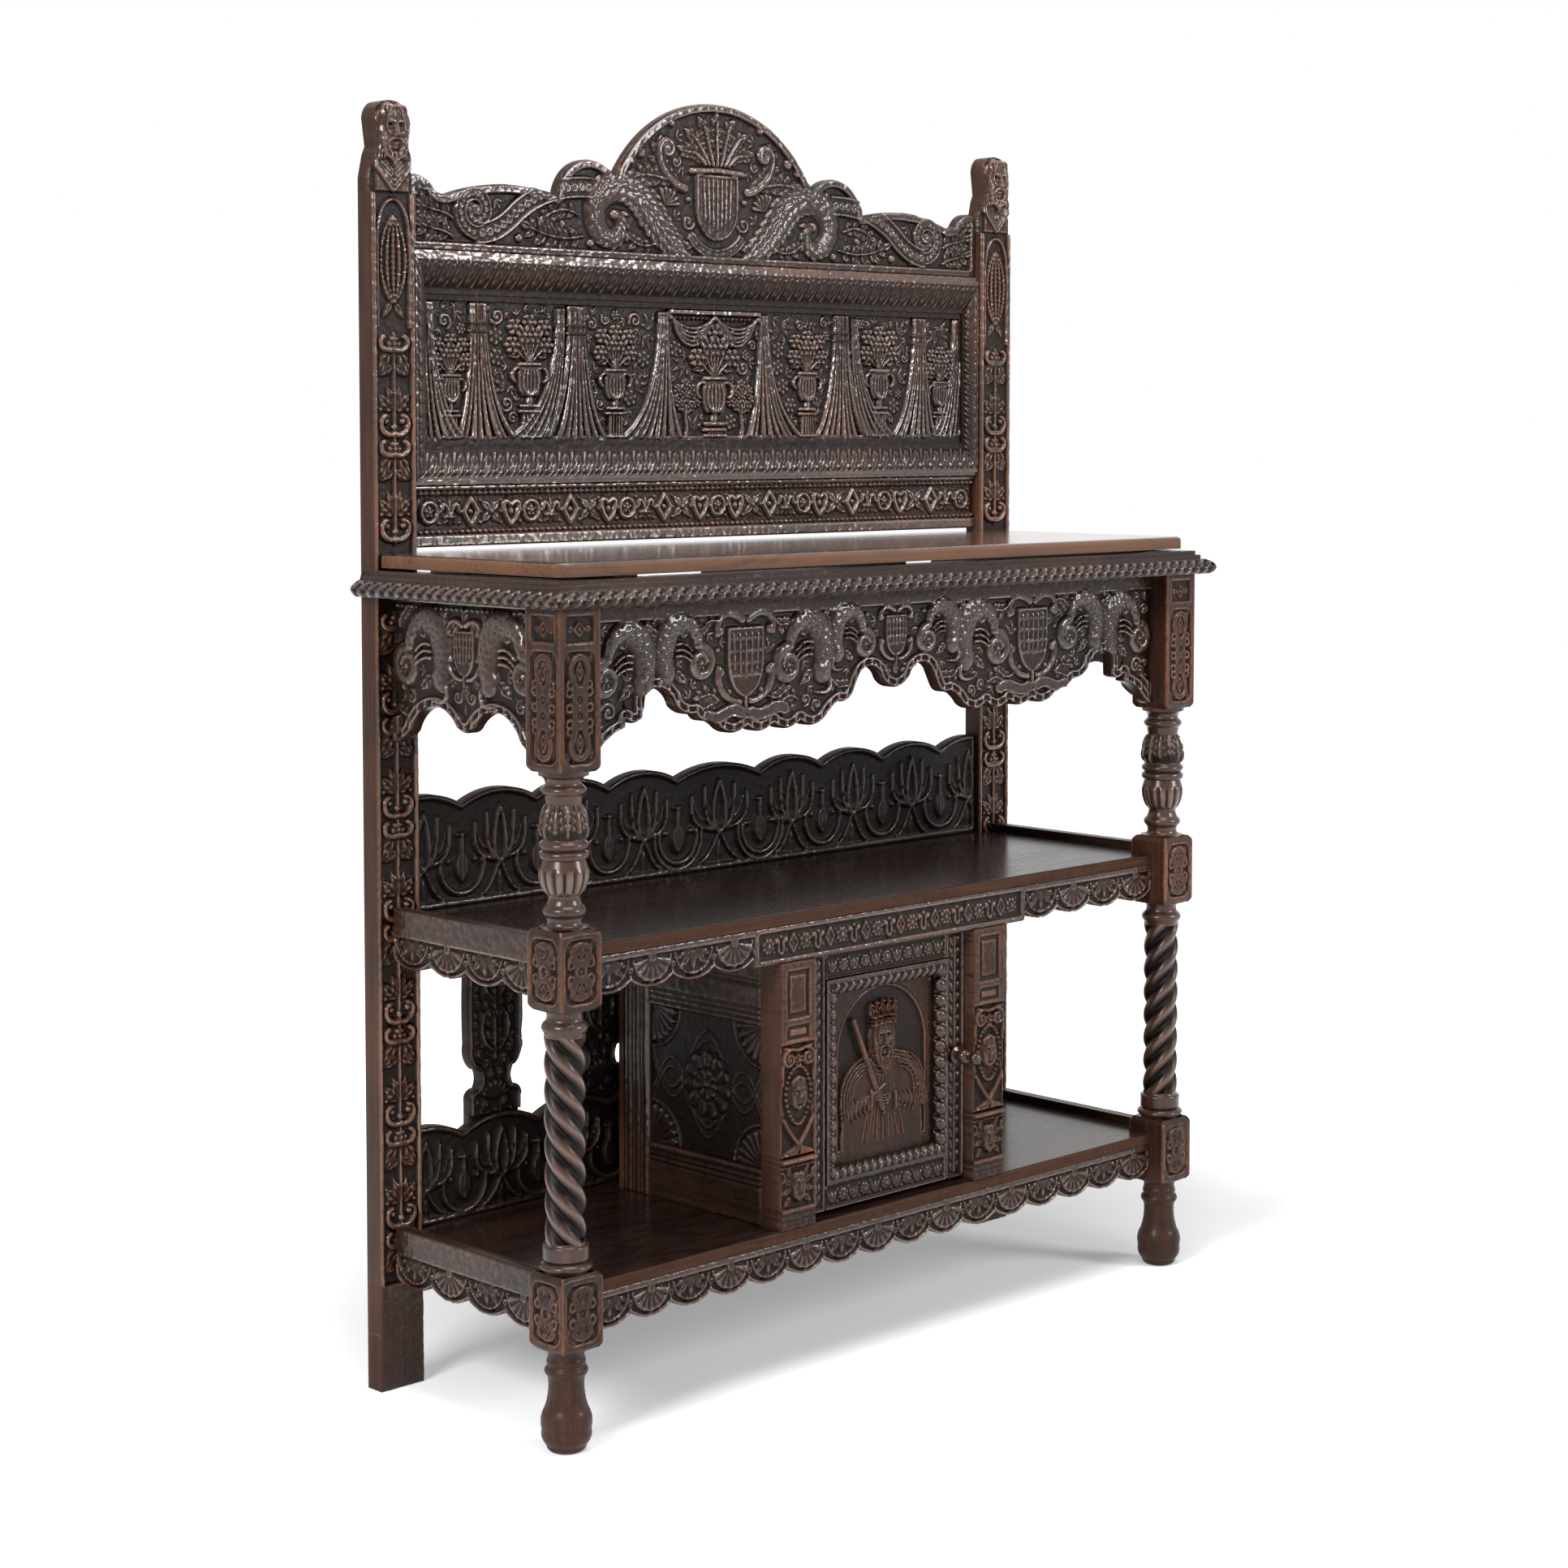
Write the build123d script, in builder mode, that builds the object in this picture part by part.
"""Court cupboard: three open tiers on turned front posts and plank rear stiles,
a moulded worktop, a panelled back with a carved crest, and a small cupboard with a
hinged door under the middle shelf.

Millimetres. +X to the right, +Y to the back, +Z up. The origin is on the floor, in the
middle of the box that holds the whole piece.
"""
from build123d import *
from math import hypot, sqrt
import os

# ---------------------------------------------------------------- driving dimensions
case_width = 1316.0          # over the outer faces of the front posts
case_depth = 422.0           # front of the posts to the back of the rear stiles
nose_overhang = 24.0         # worktop moulding, past the posts
post_square = 70.0
block_chamfer = (5.4, 3.6)

foot_height = 138.0          # heights of the front post, from the floor up
base_block_height = 102.0
twist_height = 346.0
mid_block_height = 107.0
baluster_height = 205.0
top_block_height = 213.0
twist_lead = 147.0           # height of one full turn of a strand
twist_radius = 27.5
strand_radius = 13.2
twist_core_radius = 23.5

stile_width = 73.5           # plank stiles at the back
stile_thickness = 33.0
stile_height = 1789.0
stile_shoulder = 106.0       # below the top, where the head begins to narrow
stile_neck = 63.0            # below the top, the notch under the head
head_width = 60.0

shelf_thickness = 16.0
shelf_edge_round = 4.0
low_shelf_drop = 23.0        # shelf top below the top of the base block
mid_shelf_drop = 27.0        # shelf top below the top of the middle block
rail_thickness = 20.0
front_setback = 28.0         # rail face behind the post face
side_setback = 24.0
side_rail_lip = 12.0         # side rails stand this far above the shelf

low_rail_height = 52.0
mid_rail_height = 54.0
scallop_depth = 12.0
low_scallop_count = 16
mid_scallop_count = 4        # each side of the plain middle
side_scallop_count = 4
mid_plain_width = 569.0

moulding_height = 36.0
moulding_inset = 30.0        # moulding reaches this far in over posts and aprons
worktop_thickness = 19.0
worktop_gap = 3.5            # board above the moulding, where it sits on its bearers
worktop_inset = 10.0         # board edge inside the post faces
worktop_corner = 22.0
worktop_edge_round = 7.0
bearer_width = 40.0
bearer_count = 3

back_board_thickness = 20.0
back_board_inset = 11.0      # face of the back boards behind the stile face
splat_thickness = 20.0
low_board_height = 141.0
mid_board_height = 163.0
arcade_depth = 18.0          # lobe top above cusp
arcade_middle = 173.0        # width of the middle lobe
arcade_pitch = 138.0
splat_places = (-442.0, -242.0, 242.0, 442.0)
splat_foot = 46.0            # half widths of a splat
splat_waist = 27.0
splat_belly = 47.6
splat_head = 40.0
splat_bead = 4.0             # small steps above and below the waist
splat_foot_height = 20.0     # above the board that the splat stands on
splat_taper_height = 18.0    # from the foot in to the waist
splat_waist_height = 28.0
splat_rise = 38.0            # from the waist up to the belly

top_back_rail_height = 50.0
lower_rail_gap = 6.0         # daylight between worktop and the rail above it
lower_rail_height = 87.0
back_rail_thickness = 18.0
frame_bottom_height = 61.0
frame_top_height = 68.0
frame_side_width = 33.0
frame_depth = 28.0
panel_height = 197.0
panel_thickness = 8.0
panel_tongue = 8.0
crest_thickness = 18.0
crest_rise = 242.0           # from the foot of the crest board to the top of its arch
apron_reach = 206.0          # the front apron's depth where it meets the posts
apron_tenon_height = 121.0

pilaster_width = 68.0
pilaster_depth = 42.0
pilaster_setback = 26.0
pilaster_chamfer = 2.0
door_width = 332.0
door_thickness = 22.0
door_setback = 46.0          # door face behind the post face
door_side_gap = 1.2
door_foot_gap = 5.0
door_head_gap = 2.0
door_stile_width = 38.0
door_rail_height = 38.0
door_frame_width = 22.0
door_frame_depth = 15.0
door_panel_thickness = 9.0
niche_width = 181.0
niche_margin = 20.0          # niche foot above the panel's lower sight edge
niche_depth = 4.0

cupboard_rear_gap = 30.0     # between the cupboard's back and the boards behind it
side_frame_thickness = 20.0
side_rear_stile = 54.0
side_rail_low = 80.0
side_field_height = 205.0
cupboard_back_thickness = 10.0

hinge_height = 48.0
hinge_inset = 52.0           # hinge end from the end of the door
knuckle_radius = 3.0
hinge_pin_radius = 1.2
hinge_pin_play = 0.05
hinge_leaf = 1.5
hinge_leaf_depth = 18.0
hinge_recess_play = 0.1
hinge_forward = 2.2          # pin centre in front of the door face

knob_inset = 18.0            # knob axis from the door's free edge
knob_rose_radius = 13.0
knob_ball_radius = 11.5
knob_tip_radius = 9.5
knob_neck_radius = 4.5
knob_neck_length = 3.5
spindle_radius = 4.0
spindle_play = 0.06
tongue_length = 32.0
tongue_width = 14.0
tongue_thickness = 6.0
tongue_play = 0.5

tenon_thickness = 8.0
tenon_length = 20.0
tenon_shoulder = 8.0         # wood left above and below a tenon
tenon_play = 0.2
carving_sink = 2.0           # ground of the small panels on the posts
carving_border = 11.5

# ---------------------------------------------------------------- places
half_case = case_width / 2
front = nose_overhang - (case_depth + nose_overhang) / 2
back = front + case_depth
stile_front = back - stile_thickness
post_inner = half_case - post_square
post_back = front + post_square
stile_inner = half_case - stile_width
post_axis = Location((-half_case + post_square / 2, front + post_square / 2, 0))

twist_foot = foot_height + base_block_height
mid_block_foot = twist_foot + twist_height
baluster_foot = mid_block_foot + mid_block_height
top_block_foot = baluster_foot + baluster_height
post_top = top_block_foot + top_block_height

low_shelf_top = twist_foot - low_shelf_drop
mid_shelf_top = baluster_foot - mid_shelf_drop
low_shelf_under = low_shelf_top - shelf_thickness
mid_shelf_under = mid_shelf_top - shelf_thickness
rail_front = front + front_setback
rail_mid_y = rail_front + rail_thickness / 2
side_rail_outer = half_case - side_setback
side_rail_mid_x = side_rail_outer - rail_thickness / 2
board_front = stile_front + back_board_inset
board_back = board_front + back_board_thickness

worktop_under = post_top + moulding_height + worktop_gap
worktop_top = worktop_under + worktop_thickness
lower_rail_foot = worktop_top + lower_rail_gap
frame_foot = lower_rail_foot + lower_rail_height
panel_foot = frame_foot + frame_bottom_height
panel_head = panel_foot + panel_height
crest_foot = panel_head + frame_top_height
back_rail_front = back - back_rail_thickness
panel_front = back - panel_thickness

pilaster_inner = door_width / 2 + door_side_gap
pilaster_outer = pilaster_inner + pilaster_width
pilaster_front = front + pilaster_setback
pilaster_back = pilaster_front + pilaster_depth
door_front = front + door_setback
door_back = door_front + door_thickness
cupboard_head = mid_shelf_under - mid_rail_height
door_foot = low_shelf_top + door_foot_gap
door_head = cupboard_head - door_head_gap
door_sight = door_width / 2 - door_stile_width
cupboard_back = board_front - cupboard_rear_gap - cupboard_back_thickness
hinge_x = -(door_width + door_side_gap) / 2
hinge_y = door_front - hinge_forward
knob_x = door_width / 2 - knob_inset
knob_z = (door_foot + door_head) / 2

# heights of the tenons: apron, middle rails and bottom rails
apron_tenon = (post_top - tenon_shoulder - apron_tenon_height, post_top - tenon_shoulder)
mid_tenon = (mid_shelf_under - mid_rail_height + scallop_depth + tenon_shoulder,
             mid_shelf_under - tenon_shoulder)
low_tenon = (low_shelf_under - low_rail_height + scallop_depth + tenon_shoulder,
             low_shelf_under - tenon_shoulder)
post_tenons = (apron_tenon, mid_tenon, low_tenon)

# rails and boards between the stiles: foot, head and middle of their thickness
crest_tenon_height = 70.0
back_rail_mid_y = back - back_rail_thickness / 2
rear_tenons = (
    (post_top - top_back_rail_height, post_top, back_rail_mid_y),
    (lower_rail_foot, lower_rail_foot + lower_rail_height, back_rail_mid_y),
    (crest_foot, crest_foot + crest_tenon_height, back_rail_mid_y),
)


def save(piece, label):
    """Name a finished piece and write it."""
    piece.part.label = label
    export_step(piece.part, f"parts/{label}.step")


def save_pair(left_piece, name):
    """Write the left piece and its mirror image."""
    save(left_piece, f"left_{name}")
    with BuildPart() as right_piece:
        mirror(left_piece.part, about=Plane.YZ)
    save(right_piece, f"right_{name}")


def block(x_span, y_span, z_span, mode=Mode.ADD):
    """A box between two corners, given as a span along each axis."""
    middle = [(low + high) / 2 for low, high in (x_span, y_span, z_span)]
    size = [high - low for low, high in (x_span, y_span, z_span)]
    with Locations(tuple(middle)):
        Box(*size, mode=mode)


def draw_edge(knots):
    """Draw an edge through (along, height, rise) knots. Each stretch is an arc that
    rises by its own third value above its chord, or a line where that is 0."""
    for (x0, z0, _), (x1, z1, rise) in zip(knots, knots[1:]):
        if rise:
            ThreePointArc((x0, z0), ((x0 + x1) / 2, (z0 + z1) / 2 + rise), (x1, z1))
        else:
            Line((x0, z0), (x1, z1))


def both_sides(half_knots, middle_rise):
    """Mirror the knots of a right half, given from the middle outwards, into a whole edge."""
    left = [(-x, z) for x, z, _ in reversed(half_knots)]
    rises = [rise for _, _, rise in reversed(half_knots[1:])]
    knots = [(*left[0], 0)]
    knots += [(x, z, rise) for (x, z), rise in zip(left[1:], rises)]
    first_x, first_z, _ = half_knots[0]
    knots.append((first_x, first_z, middle_rise))
    return knots + list(half_knots[1:])


def scallops(start, end, count, cusp, depth):
    """Knots of a row of equal lobes that hang below (or stand above) their cusps."""
    pitch = (end - start) / count
    return [(start + i * pitch, cusp, depth if i else 0) for i in range(count + 1)]


def hanging_board(knots, top, plane, thickness):
    """A board with a straight top and a shaped lower edge, thickened behind its face."""
    with BuildPart() as board:
        with BuildSketch(plane):
            with BuildLine():
                draw_edge(knots)
                Polyline((knots[-1][0], knots[-1][1]), (knots[-1][0], top),
                         (knots[0][0], top), (knots[0][0], knots[0][1]))
            make_face()
        extrude(amount=-thickness)
    return board


def x_tenons(board, shoulder_x, mid_y, span, mode=Mode.ADD, play=0.0):
    """Tenons along X at both ends of a board, or their mortises with some play."""
    with BuildPart() as tenons:
        for side in (-1, 1):
            near = side * shoulder_x
            far = side * (shoulder_x + tenon_length + play)
            block((min(near, far), max(near, far)),
                  (mid_y - tenon_thickness / 2 - play, mid_y + tenon_thickness / 2 + play),
                  (span[0] - play, span[1] + play))
    with BuildPart() as whole:
        add(board.part)
        add(tenons.part, mode=mode)
    return whole


# ---------------------------------------------------------------- front posts
def turned(moves, start, foot, height):
    """A turning on the left post's axis. Each move is (radius, height, swell): an arc
    that swells past its chord by that much, or a straight line where swell is 0. Radius
    and swell are shares of half the post's square, heights shares of this turning's."""
    unit = post_square / 2
    profile_plane = Plane(origin=post_axis.position, x_dir=(1, 0, 0), z_dir=(0, -1, 0))
    first = (start[0] * unit, foot + start[1] * height)
    with BuildPart() as turning:
        with BuildSketch(profile_plane):
            with BuildLine():
                last = first
                for radius, rise, swell in moves:
                    here = (radius * unit, foot + rise * height)
                    if swell:
                        dr, dz = here[0] - last[0], here[1] - last[1]
                        bulge = swell * unit / hypot(dr, dz)
                        middle = ((here[0] + last[0]) / 2 + bulge * dz,
                                  (here[1] + last[1]) / 2 - bulge * dr)
                        ThreePointArc(last, middle, here)
                    else:
                        Line(last, here)
                    last = here
                Polyline(last, (0, last[1]), (0, first[1]), first)
            make_face()
        revolve(axis=Axis(post_axis.position, (0, 0, 1)))
    return turning


column_base_height = 38.0    # rings under the twist
column_collar_height = 34.0  # ring over it
foot_turning = turned(
    [(0.771, 0.065, 0.057), (0.943, 0.217, 0.086), (0.829, 0.42, 0.086),
     (0.686, 0.703, -0.057), (0.743, 0.739, 0), (0.743, 0.826, 0.086), (0.714, 0.841, 0),
     (0.714, 0.899, 0.029), (0.857, 1.0, -0.086)],
    (0.571, 0), 0, foot_height)
column_base = turned(
    [(0.914, 0.079, 0), (0.914, 0.342, 0.114), (0.8, 0.395, 0), (0.886, 0.447, 0),
     (0.886, 0.921, 0), (0.771, 0.974, 0), (0.771, 1.053, 0)],
    (0.857, -0.053), twist_foot, column_base_height)
column_collar = turned(
    [(0.771, 0.059, 0), (0.786, 0.118, 0), (0.786, 0.529, 0.1), (0.714, 0.588, 0),
     (0.829, 1.059, -0.086)],
    (0.743, -0.059), mid_block_foot - column_collar_height, column_collar_height)
baluster = turned(
    [(0.943, 0.01, 0), (0.657, 0.044, -0.086), (0.686, 0.073, 0), (0.686, 0.151, 0.143),
     (0.614, 0.185, 0), (0.614, 0.205, 0), (0.9, 0.39, 0.114), (0.814, 0.439, 0),
     (0.914, 0.449, 0), (0.914, 0.488, 0.029), (0.814, 0.498, 0), (0.914, 0.517, 0),
     (0.914, 0.546, 0.029), (0.8, 0.566, 0), (0.886, 0.673, 0.086), (0.671, 0.79, 0.057),
     (0.729, 0.849, 0), (0.729, 0.912, 0.129), (0.686, 0.922, 0), (0.943, 0.976, -0.086),
     (0.943, 1.01, 0)],
    (0.886, -0.01), baluster_foot, baluster_height)

twist_start = twist_foot + column_base_height
twist_end = mid_block_foot - column_collar_height
twist_rise = twist_end - twist_start
with BuildSketch() as strands:
    Circle(twist_core_radius)
    with PolarLocations(twist_radius - strand_radius, 4):
        Circle(strand_radius)
twist_lift = Location((0, 0, twist_start))
twist_section = strands.sketch.faces()[0].moved(post_axis).moved(twist_lift)
twisted_column = Solid.extrude_linear_with_rotation(
    twist_section.outer_wire(), post_axis.position + twist_lift.position,
    Vector(0, 0, twist_rise), -360 * twist_rise / twist_lead)

block_spans = ((foot_height, twist_foot), (mid_block_foot, baluster_foot),
               (top_block_foot, post_top))
with BuildPart() as post_blocks:
    for low, high in block_spans:
        with BuildPart(mode=Mode.PRIVATE) as one_block:
            block((-half_case, -post_inner), (front, post_back), (low, high))
            if high < post_top:
                chamfer(one_block.edges().group_by(Axis.Z)[-1], *block_chamfer)
            chamfer(one_block.edges().group_by(Axis.Z)[0], *block_chamfer)
        add(one_block.part)

panel_width = post_square - 2 * carving_border
small_panel_height = 34.0
small_panel_drop = 10.0      # small top panel below the post's top
panel_spans = [(low + carving_border, high - carving_border)
               for low, high in block_spans[:2]]
panel_spans.append((top_block_foot + carving_border,
                    post_top - small_panel_drop - small_panel_height - carving_border))
face_planes = (
    Plane(origin=(post_axis.position.X, front, 0), x_dir=(1, 0, 0), z_dir=(0, -1, 0)),
    Plane(origin=(-half_case, post_axis.position.Y, 0), x_dir=(0, -1, 0), z_dir=(-1, 0, 0)))

with BuildPart() as left_front_post:
    add(post_blocks.part)
    for turning in (foot_turning, column_base, column_collar, baluster):
        add(turning.part)
    add(twisted_column)
    for face_plane in face_planes:
        with BuildSketch(face_plane):
            for low, high in panel_spans:
                with Locations((0, (low + high) / 2)):
                    SlotOverall(high - low, panel_width, rotation=90)
            with Locations((0, post_top - small_panel_drop - small_panel_height / 2)):
                Rectangle(panel_width, small_panel_height)
        extrude(amount=-carving_sink, mode=Mode.SUBTRACT)
    reach = tenon_length + tenon_play
    half_mortise = tenon_thickness / 2 + tenon_play
    for low, high in post_tenons:
        block((-post_inner - reach, -post_inner),
              (rail_mid_y - half_mortise, rail_mid_y + half_mortise),
              (low - tenon_play, high + tenon_play), mode=Mode.SUBTRACT)
        block((-side_rail_mid_x - half_mortise, -side_rail_mid_x + half_mortise),
              (post_back - reach, post_back), (low - tenon_play, high + tenon_play),
              mode=Mode.SUBTRACT)

# ---------------------------------------------------------------- rear stiles
stile_axis = -half_case + stile_width / 2
head_half = head_width / 2
shoulder_half = stile_width / 2
neck_z = stile_height - stile_neck
shoulder_z = stile_height - stile_shoulder
head_round = 26.0            # height of the round over the head
neck_notch = 5.0
neck_slope = 12.0            # height of the slope into the notch
with BuildPart() as left_rear_stile:
    with BuildSketch(Plane.XZ.offset(-stile_front)):
        with BuildLine():
            right_half = [(shoulder_half, 0), (shoulder_half, shoulder_z),
                          (head_half, neck_z - neck_slope), (head_half - neck_notch, neck_z)]
            right_line = [(stile_axis + x, z) for x, z in right_half]
            left_line = [(stile_axis - x, z) for x, z in reversed(right_half)]
            Polyline(*right_line)
            side_end = (stile_axis + head_half, stile_height - head_round)
            other_end = (stile_axis - head_half, stile_height - head_round)
            Line(right_line[-1], side_end)
            ThreePointArc(side_end, (stile_axis, stile_height), other_end)
            Line(other_end, left_line[0])
            Polyline(*left_line, right_line[0])
        make_face()
    extrude(amount=-stile_thickness)
    for low, high in post_tenons:
        block((-side_rail_mid_x - half_mortise, -side_rail_mid_x + half_mortise),
              (stile_front, stile_front + reach), (low - tenon_play, high + tenon_play),
              mode=Mode.SUBTRACT)
    for low, high, mid_y in rear_tenons:
        block((-stile_inner - reach, -stile_inner), (mid_y - half_mortise, mid_y + half_mortise),
              (low + tenon_shoulder - tenon_play, high - tenon_shoulder + tenon_play),
              mode=Mode.SUBTRACT)

# ---------------------------------------------------------------- aprons under the worktop
# share of the half width, drop below the top and rise of the stretch, in apron reaches
apron_half_edge = [
    (0.051, 0.617, 0), (0.1293, 0.583, 0.068), (0.1531, 0.709, 0), (0.1973, 0.752, -0.024),
    (0.2449, 0.85, 0.015), (0.3316, 0.859, -0.044), (0.4201, 0.859, -0.044),
    (0.5068, 0.859, -0.044), (0.5952, 0.85, -0.044), (0.6412, 0.801, 0.015),
    (0.6701, 0.748, -0.015), (0.733, 0.684, -0.024), (0.7772, 0.563, 0.029),
    (0.8299, 0.607, 0.024), (0.8316, 0.743, 0), (0.8827, 0.743, -0.029), (0.8844, 0.801, 0),
    (0.9626, 0.932, 0.024), (1, 1, -0.015)]
side_apron_edge = [(0.138, 0.806, 0), (0.74, 0.888, 0.131), (1, 0.985, -0.019)]


def apron_edge(shares, half_width, middle_rise):
    """Knots of an apron's lower edge, stretched to its width."""
    return both_sides([(x * half_width, post_top - drop * apron_reach, rise * apron_reach)
                       for x, drop, rise in shares], middle_rise * apron_reach)


front_apron = x_tenons(
    hanging_board(apron_edge(apron_half_edge, post_inner, -0.073), post_top,
                  Plane.XZ.offset(-rail_front), rail_thickness),
    post_inner, rail_mid_y, apron_tenon)

side_mid = (post_back + stile_front) / 2
side_half = (stile_front - post_back) / 2
side_plane = Plane(origin=(-side_rail_outer, side_mid, 0), x_dir=(0, -1, 0), z_dir=(-1, 0, 0))

def y_tenons(board, span):
    """Tenons along Y at both ends of a left side board."""
    with BuildPart() as whole:
        add(board.part)
        for near, far in ((post_back - tenon_length, post_back),
                          (stile_front, stile_front + tenon_length)):
            block((-side_rail_mid_x - tenon_thickness / 2,
                   -side_rail_mid_x + tenon_thickness / 2), (near, far), span)
    return whole


left_side_apron = y_tenons(
    hanging_board(apron_edge(side_apron_edge, side_half, -0.058), post_top, side_plane,
                  rail_thickness), apron_tenon)


# ---------------------------------------------------------------- shelves and their rails
def shelf(top):
    """A shelf board, notched round the posts, that runs back between the stiles."""
    inner = side_rail_outer - rail_thickness
    with BuildPart() as board:
        with BuildSketch(Plane.XY.offset(top)):
            with BuildLine():
                Polyline((-post_inner, rail_front), (post_inner, rail_front),
                         (post_inner, post_back), (inner, post_back), (inner, stile_front),
                         (stile_inner, stile_front), (stile_inner, board_back),
                         (-stile_inner, board_back), (-stile_inner, stile_front),
                         (-inner, stile_front), (-inner, post_back), (-post_inner, post_back),
                         close=True)
            make_face()
        extrude(amount=-shelf_thickness)
        front_edge = board.edges().filter_by(Axis.X).group_by(Axis.Y)[0].group_by(Axis.Z)[-1]
        fillet(front_edge, shelf_edge_round)
    return board


low_shelf_board = shelf(low_shelf_top)
mid_shelf_board = shelf(mid_shelf_top)

low_cusp = low_shelf_under - low_rail_height + scallop_depth
mid_cusp = mid_shelf_under - mid_rail_height + scallop_depth
low_front_rail = x_tenons(
    hanging_board(
        scallops(-post_inner, post_inner, low_scallop_count, low_cusp, -scallop_depth),
        low_shelf_under, Plane.XZ.offset(-rail_front), rail_thickness),
    post_inner, rail_mid_y, low_tenon)

plain_half = mid_plain_width / 2
mid_rail_knots = scallops(-post_inner, -plain_half, mid_scallop_count, mid_cusp, -scallop_depth)
mid_rail_knots += [(-plain_half, cupboard_head, 0), (plain_half, cupboard_head, 0)]
mid_rail_knots += scallops(plain_half, post_inner, mid_scallop_count, mid_cusp, -scallop_depth)
mid_front_rail = x_tenons(
    hanging_board(mid_rail_knots, mid_shelf_under, Plane.XZ.offset(-rail_front),
                  rail_thickness),
    post_inner, rail_mid_y, mid_tenon)


def side_rail(cusp, shelf_top, span):
    """A left side rail with hanging scallops, standing a little above its shelf."""
    knots = scallops(-side_half, side_half, side_scallop_count, cusp, -scallop_depth)
    board = hanging_board(knots, shelf_top + side_rail_lip, side_plane, rail_thickness)
    return y_tenons(board, span)


left_low_side_rail = side_rail(low_cusp, low_shelf_top, low_tenon)
left_mid_side_rail = side_rail(mid_cusp, mid_shelf_top, mid_tenon)

# ---------------------------------------------------------------- worktop
nose_flat = 8.0              # the nose is this far out before it turns under
nose_centre = 9.6            # height of its widest place
ovolo_height = 23.0
fillet_height = (moulding_height - ovolo_height) / 2
upper_step = 6.0


def moulding_profile(outward):
    """Section of the worktop moulding, with the post face at 0 and the nose outward."""
    with BuildLine() as profile:
        ThreePointArc((outward * (nose_overhang - nose_flat), 0),
                      (outward * nose_overhang, nose_centre),
                      (outward * upper_step * 2, ovolo_height))
        Polyline((outward * upper_step * 2, ovolo_height), (outward * upper_step, ovolo_height),
                 (outward * upper_step, ovolo_height + fillet_height),
                 (0, ovolo_height + fillet_height), (0, moulding_height),
                 (-outward * moulding_inset, moulding_height), (-outward * moulding_inset, 0),
                 (outward * (nose_overhang - nose_flat), 0))
    return profile.line


left_mitre = Plane(origin=(-half_case, front, 0), x_dir=(0, 0, 1), z_dir=(1, -1, 0))
right_mitre = Plane(origin=(half_case, front, 0), x_dir=(0, 0, 1), z_dir=(-1, -1, 0))
with BuildPart() as worktop_moulding_front:
    with BuildSketch(Plane(origin=(0, front, post_top), x_dir=(0, 1, 0), z_dir=(1, 0, 0))):
        add(moulding_profile(-1))
        make_face()
    extrude(amount=half_case + nose_overhang, both=True)
    split(bisect_by=left_mitre, keep=Keep.TOP)
    split(bisect_by=right_mitre, keep=Keep.TOP)

moulding_tail = 26.0         # the nose runs this far along the outside of the stile
with BuildPart() as left_worktop_moulding:
    with BuildSketch(Plane(origin=(-half_case, front - nose_overhang, post_top),
                           x_dir=(1, 0, 0), z_dir=(0, -1, 0))):
        add(moulding_profile(-1))
        make_face()
    extrude(amount=-(stile_front - front + nose_overhang + moulding_tail))
    split(bisect_by=left_mitre, keep=Keep.BOTTOM)
    block((-half_case, -stile_inner), (stile_front, back), (post_top, worktop_top),
          mode=Mode.SUBTRACT)

with BuildPart() as worktop_board:
    board_half = half_case - worktop_inset
    with BuildSketch(Plane.XY.offset(worktop_under)):
        with BuildLine():
            Polyline((-board_half, front + worktop_inset), (board_half, front + worktop_inset),
                     (board_half, stile_front), (stile_inner, stile_front), (stile_inner, back),
                     (-stile_inner, back), (-stile_inner, stile_front),
                     (-board_half, stile_front), close=True)
        make_face()
    extrude(amount=worktop_thickness)
    front_corners = worktop_board.edges().filter_by(Axis.Z).group_by(Axis.Y)[0]
    fillet(front_corners, worktop_corner)
    top_edges = worktop_board.faces().sort_by(Axis.Z)[-1].edges()
    outer_edges = top_edges.filter_by(lambda edge: edge.center().Y < stile_front - 1)
    fillet(outer_edges, worktop_edge_round)

bearer_front = front + moulding_inset
bearer_span = case_width - 4 * post_square
with BuildPart() as worktop_bearers:
    for i in range(bearer_count):
        x = bearer_span * (i / (bearer_count - 1) - 0.5)
        block((x - bearer_width / 2, x + bearer_width / 2), (bearer_front, back),
              (post_top, worktop_under))

# ---------------------------------------------------------------- boards at the back of the tiers
def arcade_board(foot, height):
    """A back board whose upper edge is a row of round lobes, cut off by the stiles."""
    cusp = foot + height - arcade_depth
    half_edge = [(arcade_middle / 2, cusp, 0)]
    while half_edge[-1][0] < stile_inner:
        half_edge.append((half_edge[-1][0] + arcade_pitch, cusp, arcade_depth))
    knots = both_sides(half_edge, middle_rise=arcade_depth)
    with BuildPart() as board:
        with BuildSketch(Plane.XZ.offset(-board_front)):
            with BuildLine():
                draw_edge(knots)
                Polyline((knots[-1][0], cusp), (knots[-1][0], foot), (knots[0][0], foot),
                         (knots[0][0], cusp))
            make_face()
            with Locations((0, foot + height / 2)):
                Rectangle(2 * stile_inner, 2 * height, mode=Mode.INTERSECT)
        extrude(amount=-back_board_thickness)
    return board


low_back_board = arcade_board(low_shelf_top, low_board_height)
mid_back_board = arcade_board(mid_shelf_top, mid_board_height)

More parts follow.
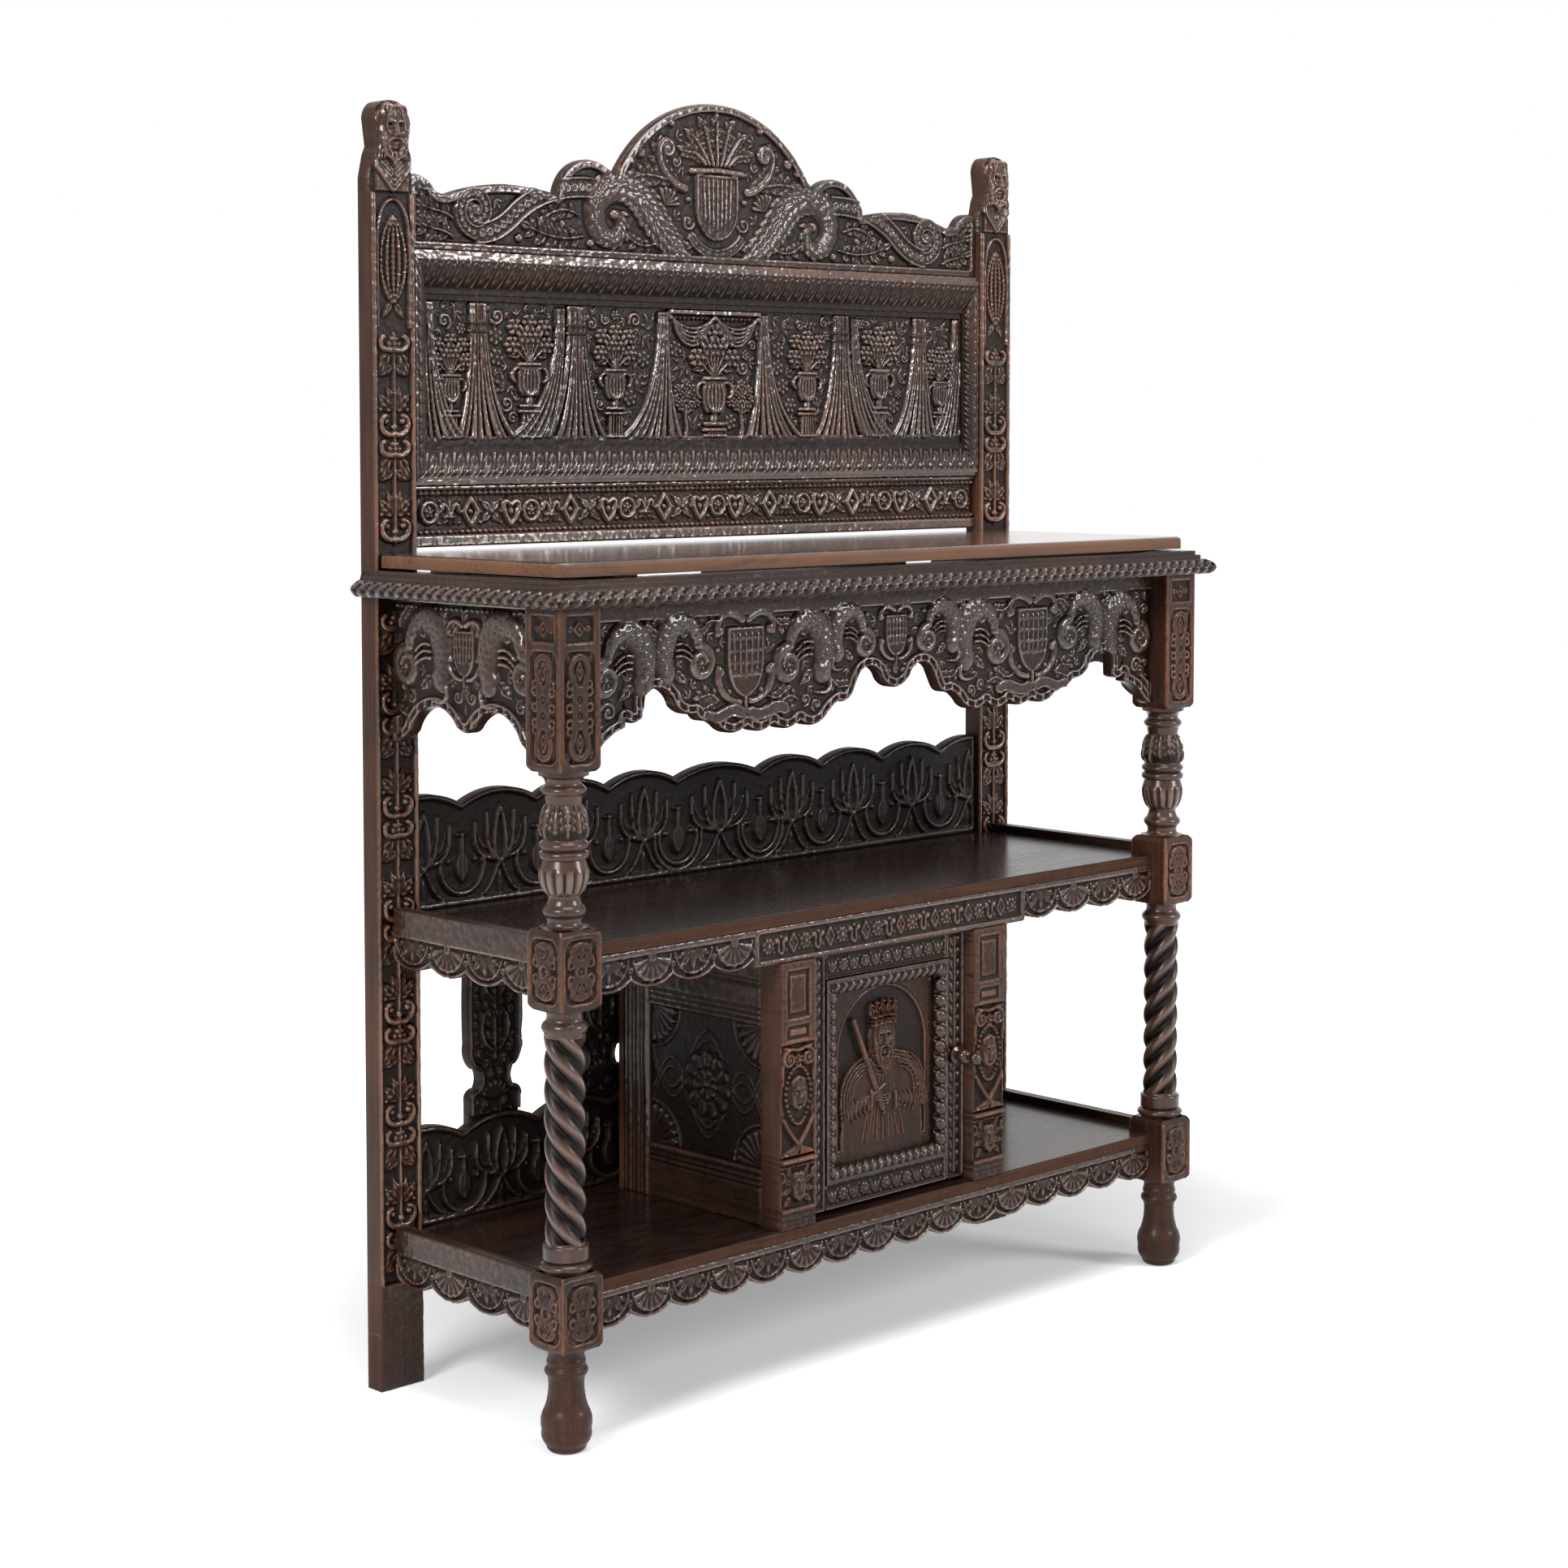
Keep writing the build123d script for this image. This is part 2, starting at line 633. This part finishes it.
splat_cusp_z = low_shelf_top + low_board_height - arcade_depth
splat_shoulder_z = low_shelf_top + low_board_height + splat_foot_height
splat_step_z = splat_shoulder_z + splat_taper_height
splat_waist_z = splat_step_z + splat_waist_height / 2
splat_neck_z = splat_step_z + splat_waist_height
splat_belly_z = splat_neck_z + splat_rise
splat_edge = [               # half width, height, swell of the stretch below it
    (splat_foot, splat_cusp_z, 0), (splat_foot, splat_shoulder_z, 0),
    (splat_waist + 2 * splat_bead, splat_step_z, 5), (splat_waist + splat_bead, splat_step_z, 0),
    (splat_waist, splat_waist_z, -1), (splat_waist + splat_bead, splat_neck_z, -1),
    (splat_waist + 2 * splat_bead, splat_neck_z, 0), (splat_belly, splat_belly_z, 6),
    (splat_head, mid_shelf_under, 4)]
back_splats = []
for place in splat_places:
    with BuildPart() as back_splat:
        with BuildSketch(Plane.XZ.offset(-board_front)):
            with BuildLine():
                for side in (-1, 1):
                    for (w0, z0, _), (w1, z1, swell) in zip(splat_edge, splat_edge[1:]):
                        start, end = (place + side * w0, z0), (place + side * w1, z1)
                        if swell:
                            middle = (place + side * ((w0 + w1) / 2 + swell), (z0 + z1) / 2)
                            ThreePointArc(start, middle, end)
                        else:
                            Line(start, end)
                for half_width, z, _ in (splat_edge[0], splat_edge[-1]):
                    Line((place - half_width, z), (place + half_width, z))
            make_face()
        extrude(amount=-splat_thickness)
        add(low_back_board.part, mode=Mode.SUBTRACT)
    back_splats.append(back_splat)

# ---------------------------------------------------------------- the panelled back
with BuildPart() as top_back_rail_body:
    block((-stile_inner, stile_inner), (back - back_rail_thickness, back),
          (post_top - top_back_rail_height, post_top))
with BuildPart() as lower_back_rail_body:
    block((-stile_inner, stile_inner), (back_rail_front, back),
          (lower_rail_foot, lower_rail_foot + lower_rail_height))
rear_rails = []
for body, (low, high, mid_y) in zip((top_back_rail_body, lower_back_rail_body), rear_tenons):
    rear_rails.append(x_tenons(body, stile_inner, mid_y,
                               (low + tenon_shoulder, high - tenon_shoulder)))

outer_fillet_share = 0.09    # shares of a frame member's width
inner_fillet_share = 0.125
ovolo_swell = 2.6
fillet_step = 4.0


def frame_profile(width):
    """Section of the frame round the back panel: the outer edge at 0, the sight edge at
    width, the back at 0 and the face at frame_depth, rebated for the panel."""
    rebate = panel_thickness
    outer = width * outer_fillet_share
    inner = width * inner_fillet_share
    ovolo_start = (2 * outer, frame_depth)
    ovolo_end = (width - 2 * inner, rebate + 2 * fillet_step)
    run = ovolo_end[0] - ovolo_start[0]
    fall = ovolo_start[1] - ovolo_end[1]
    chord = hypot(run, fall)
    ovolo_middle = ((ovolo_start[0] + ovolo_end[0]) / 2 + ovolo_swell * fall / chord,
                    (ovolo_start[1] + ovolo_end[1]) / 2 + ovolo_swell * run / chord)
    with BuildLine() as profile:
        Polyline((0, 0), (0, frame_depth - fillet_step), (outer, frame_depth - fillet_step),
                 (outer, frame_depth), ovolo_start)
        ThreePointArc(ovolo_start, ovolo_middle, ovolo_end)
        Polyline(ovolo_end, (width - inner, rebate + 2 * fillet_step),
                 (width - inner, rebate + fillet_step), (width, rebate + fillet_step),
                 (width, rebate), (width - panel_tongue - tenon_play, rebate),
                 (width - panel_tongue - tenon_play, 0), (0, 0))
    return profile.line


sight_half = stile_inner - frame_side_width
top_corner_slope = Plane(origin=(-stile_inner, 0, crest_foot), x_dir=(0, 1, 0),
                         z_dir=(frame_top_height, 0, frame_side_width))
low_corner_slope = Plane(origin=(-stile_inner, 0, frame_foot), x_dir=(0, 1, 0),
                         z_dir=(frame_bottom_height, 0, -frame_side_width))
mirror_top_slope = Plane(origin=(stile_inner, 0, crest_foot), x_dir=(0, 1, 0),
                         z_dir=(-frame_top_height, 0, frame_side_width))
mirror_low_slope = Plane(origin=(stile_inner, 0, frame_foot), x_dir=(0, 1, 0),
                         z_dir=(-frame_bottom_height, 0, -frame_side_width))

with BuildPart() as back_frame_top:
    with BuildSketch(Plane(origin=(0, back, crest_foot), x_dir=(0, 0, -1), z_dir=(-1, 0, 0))):
        add(frame_profile(frame_top_height))
        make_face()
    extrude(amount=stile_inner, both=True)
    split(bisect_by=top_corner_slope, keep=Keep.TOP)
    split(bisect_by=mirror_top_slope, keep=Keep.TOP)
with BuildPart() as back_frame_bottom:
    with BuildSketch(Plane(origin=(0, back, frame_foot), x_dir=(0, 0, 1), z_dir=(1, 0, 0))):
        add(frame_profile(frame_bottom_height))
        make_face()
    extrude(amount=stile_inner, both=True)
    split(bisect_by=low_corner_slope, keep=Keep.TOP)
    split(bisect_by=mirror_low_slope, keep=Keep.TOP)
with BuildPart() as left_back_frame:
    with BuildSketch(Plane(origin=(-stile_inner, back, frame_foot), x_dir=(1, 0, 0),
                           z_dir=(0, 0, -1))):
        add(frame_profile(frame_side_width))
        make_face()
    extrude(amount=-(crest_foot - frame_foot))
    split(bisect_by=top_corner_slope, keep=Keep.BOTTOM)
    split(bisect_by=low_corner_slope, keep=Keep.BOTTOM)

with BuildPart() as carved_back_panel:
    block((-sight_half - panel_tongue, sight_half + panel_tongue), (panel_front, back),
          (panel_foot - panel_tongue, panel_head + panel_tongue))

# share of the half width, drop below the top and rise of the stretch, in crest rises
crest_half_edge = [
    (0.3422, 0.467, 0), (0.349, 0.504, 0), (0.5423, 0.636, 0.161), (0.8743, 0.665, 0.058),
    (0.9204, 0.653, -0.017), (1, 0.579, 0.041)]
crest_top = crest_foot + crest_rise
crest_knots = both_sides([(x * stile_inner, crest_top - drop * crest_rise, rise * crest_rise)
                          for x, drop, rise in crest_half_edge], 0.467 * crest_rise)
with BuildPart() as crest_body:
    with BuildSketch(Plane.XZ.offset(-(back - crest_thickness))):
        with BuildLine():
            draw_edge(crest_knots)
            Polyline((stile_inner, crest_knots[-1][1]), (stile_inner, crest_foot),
                     (-stile_inner, crest_foot), (-stile_inner, crest_knots[0][1]))
        make_face()
    extrude(amount=-crest_thickness)
crest_board = x_tenons(crest_body, stile_inner, back_rail_mid_y,
                       (crest_foot + tenon_shoulder,
                        crest_foot + crest_tenon_height - tenon_shoulder))

# ---------------------------------------------------------------- cupboard case
hinge_spans = ((door_foot + hinge_inset, door_foot + hinge_inset + hinge_height),
               (door_head - hinge_inset - hinge_height, door_head - hinge_inset))
leaf_half_gap = 0.15         # from the pin's plane to the face of a leaf
leaf_back = door_front + hinge_leaf_depth


def hinge_recess(side):
    """Cut the seats of the hinges: leaf and knuckle, on the door (1) or the pilaster (-1)."""
    outer = leaf_half_gap + hinge_leaf + hinge_recess_play
    x_span = sorted((hinge_x, hinge_x + side * outer))
    for low, high in hinge_spans:
        z_span = (low - hinge_recess_play, high + hinge_recess_play)
        block(x_span, (hinge_y, leaf_back + hinge_recess_play), z_span, mode=Mode.SUBTRACT)
        with Locations((hinge_x, hinge_y, (low + high) / 2)):
            Cylinder(knuckle_radius + 3 * hinge_recess_play, high - low + 2 * hinge_recess_play,
                     mode=Mode.SUBTRACT)


with BuildPart() as right_pilaster:
    block((pilaster_inner, pilaster_outer), (pilaster_front, pilaster_back),
          (low_shelf_top, cupboard_head))
    chamfer(right_pilaster.edges().filter_by(Axis.Z).group_by(Axis.Y)[0], pilaster_chamfer)
with BuildPart() as left_pilaster:
    mirror(right_pilaster.part, about=Plane.YZ)
    hinge_recess(-1)

frame_inner = pilaster_outer - side_frame_thickness
side_stile_front = cupboard_back - side_rear_stile
side_field_foot = low_shelf_top + side_rail_low
side_field_head = side_field_foot + side_field_height
side_panel_thickness = 9.0
side_panel_sink = 6.0
with BuildPart() as left_cupboard_rear_stile:
    block((-pilaster_outer, -frame_inner), (side_stile_front, cupboard_back),
          (low_shelf_top, mid_shelf_under))
with BuildPart() as left_cupboard_low_rail:
    block((-pilaster_outer, -frame_inner), (pilaster_back, side_stile_front),
          (low_shelf_top, side_field_foot))
with BuildPart() as left_cupboard_top_rail:
    block((-pilaster_outer, -frame_inner), (pilaster_back, side_stile_front),
          (side_field_head, mid_shelf_under))
with BuildPart() as left_cupboard_side_panel:
    side_panel_face = -pilaster_outer + side_panel_sink
    block((side_panel_face, side_panel_face + side_panel_thickness),
          (pilaster_back, side_stile_front), (side_field_foot, side_field_head))

with BuildPart() as cupboard_back_panel:
    block((-pilaster_outer, pilaster_outer),
          (cupboard_back, cupboard_back + cupboard_back_thickness),
          (low_shelf_top, mid_shelf_under))
stop_height = 34.0
stop_thickness = 20.0
stop_play = 0.4
stop_front = pilaster_back + stop_play
with BuildPart() as door_stop_rail:
    block((-frame_inner, frame_inner), (stop_front, stop_front + stop_thickness),
          (cupboard_head - stop_height, mid_shelf_under))

# ---------------------------------------------------------------- door
door_half = door_width / 2
rail_tenon = 15.0
rail_spans = ((door_foot, door_foot + door_rail_height),
              (door_head - door_rail_height, door_head))
door_mid_y = (door_front + door_back) / 2
with BuildPart() as right_stile_body:
    block((door_sight, door_half), (door_front, door_back), (door_foot, door_head))
    for low, high in rail_spans:
        block((door_sight, door_sight + rail_tenon + tenon_play),
              (door_mid_y - half_mortise, door_mid_y + half_mortise),
              (low + tenon_shoulder - tenon_play, high - tenon_shoulder + tenon_play),
              mode=Mode.SUBTRACT)
with BuildPart() as door_right_stile:
    add(right_stile_body.part)
    with BuildSketch(Plane.XZ.offset(-door_back)):
        with Locations((knob_x, knob_z)):
            Circle(spindle_radius + spindle_play)
    extrude(amount=2 * door_thickness, mode=Mode.SUBTRACT)
with BuildPart() as door_left_stile:
    mirror(right_stile_body.part, about=Plane.YZ)
    hinge_recess(1)

door_rails = []
for low, high in rail_spans:
    with BuildPart() as door_rail:
        block((-door_sight, door_sight), (door_front, door_back), (low, high))
        block((-door_sight - rail_tenon, door_sight + rail_tenon),
              (door_mid_y - tenon_thickness / 2, door_mid_y + tenon_thickness / 2),
              (low + tenon_shoulder, high - tenon_shoulder))
    door_rails.append(door_rail)

opening_foot, opening_head = rail_spans[0][1], rail_spans[1][0]
opening_mid = (opening_foot + opening_head) / 2
opening_height = opening_head - opening_foot
door_frame_proud = 4.0       # door moulding in front of the door's face
door_frame_slope = (8.25, 13.2)
door_sight_width = 2 * (door_sight - door_frame_width)
door_sight_height = opening_height - 2 * door_frame_width
with BuildPart() as door_moulding:
    with BuildSketch(Plane.XZ.offset(-(door_front + door_frame_depth - door_frame_proud))):
        with Locations((0, opening_mid)):
            Rectangle(2 * door_sight, opening_height)
            Rectangle(door_sight_width, door_sight_height, mode=Mode.SUBTRACT)
    extrude(amount=door_frame_depth)
    face_edges = door_moulding.faces().sort_by(Axis.Y)[0].inner_wires()[0].edges()
    chamfer(face_edges, *door_frame_slope)

door_panel_front = door_front + door_frame_depth - door_frame_proud
with BuildPart() as door_panel:
    with BuildSketch(Plane.XZ.offset(-door_panel_front)):
        with Locations((0, opening_mid)):
            Rectangle(2 * door_sight, opening_height)
    extrude(amount=-door_panel_thickness)
    niche_foot = opening_mid - door_sight_height / 2 + niche_margin
    niche_spring = opening_mid + door_sight_height / 2 - niche_margin / 4 - niche_width / 2
    with BuildSketch(Plane.XZ.offset(-door_panel_front)):
        with BuildLine():
            Polyline((-niche_width / 2, niche_spring), (-niche_width / 2, niche_foot),
                     (niche_width / 2, niche_foot), (niche_width / 2, niche_spring))
            ThreePointArc((niche_width / 2, niche_spring), (0, niche_spring + niche_width / 2),
                          (-niche_width / 2, niche_spring))
        make_face()
    extrude(amount=-niche_depth, mode=Mode.SUBTRACT)


# ---------------------------------------------------------------- hinges, knob and latch
def hinge_leaf_piece(side, knuckles):
    """Both hinges' leaves on one side, with knuckles at the given thirds of their height."""
    third = hinge_height / 3
    joint = 0.1
    with BuildPart() as leaves:
        for low, high in hinge_spans:
            x_span = sorted((hinge_x + side * leaf_half_gap,
                             hinge_x + side * (leaf_half_gap + hinge_leaf)))
            block(x_span, (hinge_y + knuckle_radius + 3 * joint, leaf_back), (low, high))
            for i in knuckles:
                z_span = (low + i * third + joint, low + (i + 1) * third - joint)
                block(x_span, (hinge_y + knuckle_radius * 0.7, leaf_back), z_span)
                with Locations((hinge_x, hinge_y, (z_span[0] + z_span[1]) / 2)):
                    Cylinder(knuckle_radius, z_span[1] - z_span[0])
            with Locations((hinge_x, hinge_y, (low + high) / 2)):
                Cylinder(hinge_pin_radius + hinge_pin_play, high - low, mode=Mode.SUBTRACT)
    return leaves


hinge_fixed_leaves = hinge_leaf_piece(-1, (0, 2))
hinge_door_leaves = hinge_leaf_piece(1, (1,))
with BuildPart() as hinge_pins:
    for low, high in hinge_spans:
        with Locations((hinge_x, hinge_y, (low + high) / 2)):
            Cylinder(hinge_pin_radius, high - low)

tongue_front = max(door_back, pilaster_back) + tongue_play
tongue_back = tongue_front + tongue_thickness
knob_plane = Plane(origin=(knob_x, door_front, knob_z), x_dir=(1, 0, 0), z_dir=(0, 0, 1))
knob_stand = 0.3             # knob's rose clear of the door's face
knob_rose_thickness = 3.0
ball_centre = -(knob_rose_thickness + knob_ball_radius + 1)
neck_end = sqrt(knob_ball_radius**2 - knob_neck_radius**2)
tip_start = sqrt(knob_tip_radius**2 - knob_neck_radius**2)
tip_centre = ball_centre - neck_end - tip_start - knob_neck_length
spindle_end = tongue_back - door_front
with BuildPart() as door_knob:
    with BuildSketch(knob_plane):
        with BuildLine():
            ball_start = (knob_rose_radius / 2, ball_centre
                          + sqrt(knob_ball_radius**2 - knob_rose_radius**2 / 4))
            ball_end = (knob_neck_radius, ball_centre - neck_end)
            tip_begin = (knob_neck_radius, tip_centre + tip_start)
            tip_end = (0, tip_centre - knob_tip_radius)
            Polyline(tip_end, (0, spindle_end), (spindle_radius, spindle_end),
                     (spindle_radius, -knob_stand), (knob_rose_radius, -knob_stand),
                     (knob_rose_radius, -knob_rose_thickness), ball_start)
            ThreePointArc(ball_start, (knob_ball_radius, ball_centre), ball_end)
            Line(ball_end, tip_begin)
            ThreePointArc(tip_begin, (knob_tip_radius, tip_centre), tip_end)
        make_face()
    revolve(axis=Axis((knob_x, door_front, knob_z), (0, 1, 0)))

with BuildPart() as latch_tongue:
    with BuildSketch(Plane.XZ.offset(-tongue_back)):
        with Locations((knob_x, knob_z + tongue_length / 2 - tongue_width / 4)):
            SlotOverall(tongue_length + tongue_width / 2, tongue_width, rotation=90)
        with Locations((knob_x, knob_z)):
            Circle(spindle_radius, mode=Mode.SUBTRACT)
    extrude(amount=tongue_thickness)

# ---------------------------------------------------------------- write every piece
os.makedirs("parts", exist_ok=True)
save_pair(left_front_post, "front_post")
save_pair(left_rear_stile, "rear_stile")
save(front_apron, "front_apron")
save_pair(left_side_apron, "side_apron")
save(low_shelf_board, "low_shelf_board")
save(mid_shelf_board, "mid_shelf_board")
save(low_front_rail, "low_front_rail")
save(mid_front_rail, "mid_front_rail")
save_pair(left_low_side_rail, "low_side_rail")
save_pair(left_mid_side_rail, "mid_side_rail")
save(worktop_moulding_front, "worktop_moulding_front")
save_pair(left_worktop_moulding, "worktop_moulding")
save(worktop_board, "worktop_board")
save(worktop_bearers, "worktop_bearers")
save(low_back_board, "low_back_board")
save(mid_back_board, "mid_back_board")
for number, splat in enumerate(back_splats, start=1):
    save(splat, f"back_splat_{number}")
save(rear_rails[0], "top_back_rail")
save(rear_rails[1], "lower_back_rail")
save(back_frame_top, "back_frame_top")
save(back_frame_bottom, "back_frame_bottom")
save_pair(left_back_frame, "back_frame")
save(carved_back_panel, "carved_back_panel")
save(crest_board, "crest_board")
save(left_pilaster, "left_pilaster")
save(right_pilaster, "right_pilaster")
save_pair(left_cupboard_rear_stile, "cupboard_rear_stile")
save_pair(left_cupboard_low_rail, "cupboard_low_rail")
save_pair(left_cupboard_top_rail, "cupboard_top_rail")
save_pair(left_cupboard_side_panel, "cupboard_side_panel")
save(cupboard_back_panel, "cupboard_back_panel")
save(door_stop_rail, "door_stop_rail")
save(door_left_stile, "door_left_stile")
save(door_right_stile, "door_right_stile")
save(door_rails[0], "door_bottom_rail")
save(door_rails[1], "door_top_rail")
save(door_moulding, "door_moulding")
save(door_panel, "door_panel")
save(hinge_fixed_leaves, "hinge_fixed_leaves")
save(hinge_door_leaves, "hinge_door_leaves")
save(hinge_pins, "hinge_pins")
save(door_knob, "door_knob")
save(latch_tongue, "latch_tongue")
